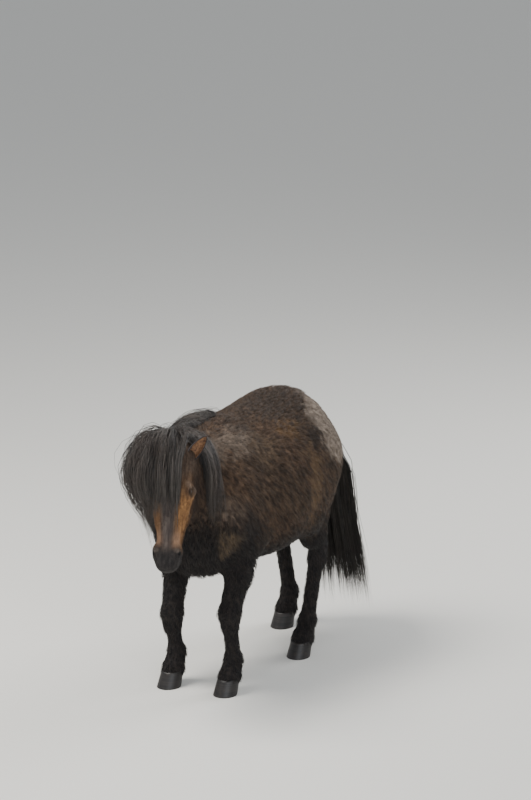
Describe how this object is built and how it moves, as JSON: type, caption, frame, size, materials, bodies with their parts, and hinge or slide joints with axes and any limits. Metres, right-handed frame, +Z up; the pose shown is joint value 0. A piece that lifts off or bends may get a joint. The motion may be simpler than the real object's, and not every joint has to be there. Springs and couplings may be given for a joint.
{
  "type": "shetland pony",
  "caption": "Small stocky pony standing square-bodied with a thick winter coat, long forelock and mane falling to one side, head lowered and turned, tail to the ground; a still model.",
  "frame": {"origin": "centre of the footprint of its bounding box, on the ground under the hooves", "axes": "+Z up; the body faces -Y with its tail towards +Y; the pony's own left side is +X; the head is turned towards +X"},
  "size_m": [0.5138, 1.337, 1.0616],
  "materials": {
    "winter_coat": "dark brown winter coat, dull and clumped",
    "face_coat": "short tan and grey-black face hair",
    "dark_coat": "black-brown leg and ear hair",
    "long_hair": "black mane and tail hair with a grey sheen",
    "hoof_horn": "dark grey horn, satin",
    "eyeball": "near-black brown eye, wet gloss"
  },
  "bodies": {
    "root": {"ear_left": "dark_coat", "ear_right": "dark_coat", "eye_left": "eyeball", "eye_right": "eyeball", "forehoof_left": "hoof_horn", "forehoof_right": "hoof_horn", "foreleg_left": "dark_coat", "foreleg_right": "dark_coat", "head": "face_coat", "hindhoof_left": "hoof_horn", "hindhoof_right": "hoof_horn", "hindleg_left": "dark_coat", "hindleg_right": "dark_coat", "neck": "winter_coat", "tail": "long_hair", "torso": "winter_coat"}
  },
  "joints": []
}
